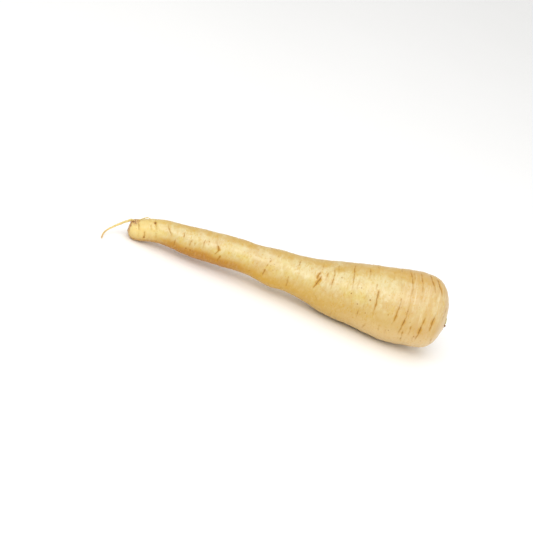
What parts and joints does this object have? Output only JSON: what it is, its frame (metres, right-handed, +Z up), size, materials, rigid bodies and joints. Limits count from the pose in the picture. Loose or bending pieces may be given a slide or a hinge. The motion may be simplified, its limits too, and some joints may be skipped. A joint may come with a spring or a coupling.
{
  "type": "parsnip",
  "caption": "Whole parsnip root lying on its side, long tapering pale taproot with creased skin, a sunken brown crown with a cut leaf stalk, and a thin rootlet at the tail.",
  "frame": {"origin": "middle of the bottom of the part's box, on the surface that the root lies on", "axes": "+X along the root from the tail to the crown, -Y the side that shows best, +Z up"},
  "size_m": [0.2624, 0.0574, 0.0604],
  "materials": {
    "skin": "satin, waxy pale cream root skin with tan creases",
    "cork": "matt, dry brown corky leaf scars and fibres",
    "stalk": "satin, pale green cut leaf stalk"
  },
  "bodies": {
    "root": {"root": "skin", "crown": "cork", "leaf_stalk": "stalk"}
  },
  "joints": []
}
